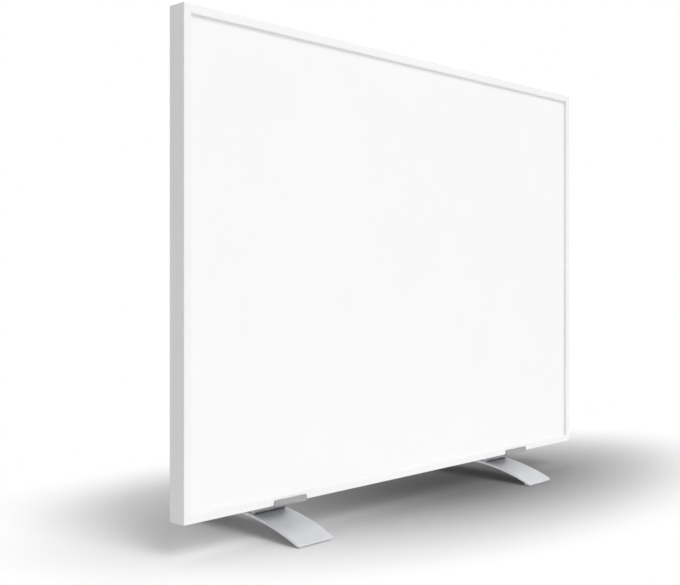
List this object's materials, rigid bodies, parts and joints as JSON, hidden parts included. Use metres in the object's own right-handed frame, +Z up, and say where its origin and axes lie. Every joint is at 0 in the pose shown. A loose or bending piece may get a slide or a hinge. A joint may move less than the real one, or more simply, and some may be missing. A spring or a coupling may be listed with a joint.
{
  "type": "infrared panel heater",
  "caption": "Flat framed infrared heating panel standing on push-on bowed metal feet, with wall hangers and a junction box on its rear cover.",
  "frame": {"origin": "on the floor, midway between the feet and in the middle of their length", "axes": "+X to the right seen from the front, +Y to the rear, +Z up"},
  "size_m": [0.705, 0.21, 0.5424],
  "materials": {
    "bow_aluminium": "satin metal",
    "box_plastic": "light grey moulding",
    "brass": "plain",
    "carbon": "printed carbon",
    "copper": "copper strip",
    "cover_coating": "matt light coating",
    "cradle_steel": "satin metal",
    "cutout_case": "phenolic",
    "fastener_zinc": "bright zinc",
    "film": "polyimide film",
    "foil": "bright foil",
    "frame_coating": "extrusion with a satin white powder coat",
    "gland_plastic": "light grey moulding",
    "grip_rubber": "matt",
    "hanger_zinc": "zinc",
    "insulation": "fibre board",
    "key_zinc": "zinc",
    "mica": "mica sheet",
    "pad_rubber": "matt",
    "plate_coating": "fine matt white coating",
    "seal_rubber": "matt",
    "silicone": "matt silicone",
    "terminal_plastic": "natural moulding",
    "tinned_lug": "tinned",
    "wire_blue": "silicone insulation",
    "wire_brown": "silicone insulation",
    "wire_green": "silicone insulation"
  },
  "bodies": {
    "panel": {"bus_bar_bottom": "copper", "bus_bar_top": "copper", "carbon_stripes": "carbon", "corner_key_bottom_left": "key_zinc", "corner_key_bottom_right": "key_zinc", "corner_key_top_left": "key_zinc", "corner_key_top_right": "key_zinc", "cover_grommet": "silicone", "cover_screws": "fastener_zinc", "earth_lug": "tinned_lug", "earth_nut": "fastener_zinc", "earth_stud": "fastener_zinc", "edge_gasket": "silicone", "frame_bottom": "frame_coating", "frame_left": "frame_coating", "frame_right": "frame_coating", "frame_top": "frame_coating", "front_plate": "plate_coating", "gland_body": "gland_plastic", "gland_locknut": "gland_plastic", "gland_nut": "gland_plastic", "gland_seal": "seal_rubber", "hanger_lower_left": "hanger_zinc", "hanger_lower_right": "hanger_zinc", "hanger_rivets": "fastener_zinc", "hanger_upper_left": "hanger_zinc", "hanger_upper_right": "hanger_zinc", "heating_film": "film", "insulation_board": "insulation", "junction_box": "box_plastic", "junction_box_rivets": "fastener_zinc", "junction_lid": "box_plastic", "lid_screws": "fastener_zinc", "mica_cover": "mica", "rear_cover": "cover_coating", "reflector_foil": "foil", "terminal_block": "terminal_plastic", "terminal_screws": "fastener_zinc", "terminal_sleeves": "brass", "thermal_cutout_lower": "cutout_case", "thermal_cutout_upper": "cutout_case", "wire_earth": "wire_green", "wire_link_lower": "wire_brown", "wire_link_upper": "wire_brown", "wire_live": "wire_brown", "wire_neutral": "wire_blue"},
    "foot_left": {"foot_left_bow": "bow_aluminium", "foot_left_cradle": "cradle_steel", "foot_left_floor_pads": "pad_rubber", "foot_left_grip_pad": "grip_rubber", "foot_left_nuts": "fastener_zinc", "foot_left_screws": "fastener_zinc"},
    "foot_right": {"foot_right_bow": "bow_aluminium", "foot_right_cradle": "cradle_steel", "foot_right_floor_pads": "pad_rubber", "foot_right_grip_pad": "grip_rubber", "foot_right_nuts": "fastener_zinc", "foot_right_screws": "fastener_zinc"}
  },
  "joints": [
    {"name": "foot_left_slide", "type": "slide", "parent": "panel", "child": "foot_left", "axis": [1, 0, 0], "range_m": [-0.11, 0.17]},
    {"name": "foot_right_slide", "type": "slide", "parent": "panel", "child": "foot_right", "axis": [-1, 0, 0], "range_m": [-0.11, 0.17]}
  ]
}
